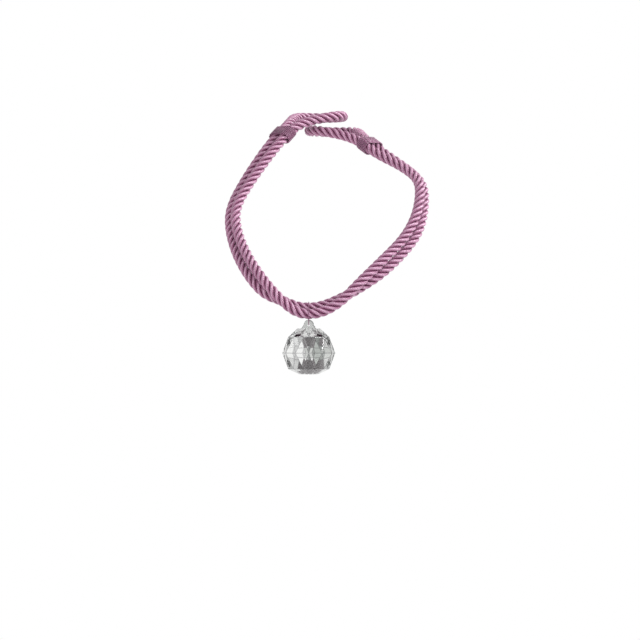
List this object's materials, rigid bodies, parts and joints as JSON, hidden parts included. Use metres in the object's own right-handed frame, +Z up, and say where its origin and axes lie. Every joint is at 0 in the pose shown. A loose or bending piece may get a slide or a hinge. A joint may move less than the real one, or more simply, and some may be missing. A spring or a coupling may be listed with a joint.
{
  "type": "beaded curtain tieback",
  "caption": "Twisted rope tieback folded into a double loop with bound hook eyes, and a clear cut-glass ball hung on a thread at its lowest point.",
  "frame": {"origin": "between the two eyes of the rope, on the axis of the upright peg of the wall hook that they hang on", "axes": "+Z up, +X to the right of someone who faces the tieback, -Y towards them and away from the wall"},
  "size_m": [0.1174, 0.1267, 0.1537],
  "materials": {
    "rope_yarn": "shiny twisted yarn",
    "sewing_thread": "satin thread",
    "cut_glass": "polished facets"
  },
  "bodies": {
    "rope_loop": {"rope": "rope_yarn", "left_binding": "sewing_thread", "right_binding": "sewing_thread", "hanging_thread": "sewing_thread"},
    "ball": {"crystal_ball": "cut_glass"}
  },
  "joints": [
    {"name": "ball_swing", "type": "hinge", "parent": "rope_loop", "child": "ball", "pos_m": [-0.01, -0.09975, -0.1187], "axis": [0, 1, 0], "range_deg": [-40, 40]}
  ]
}
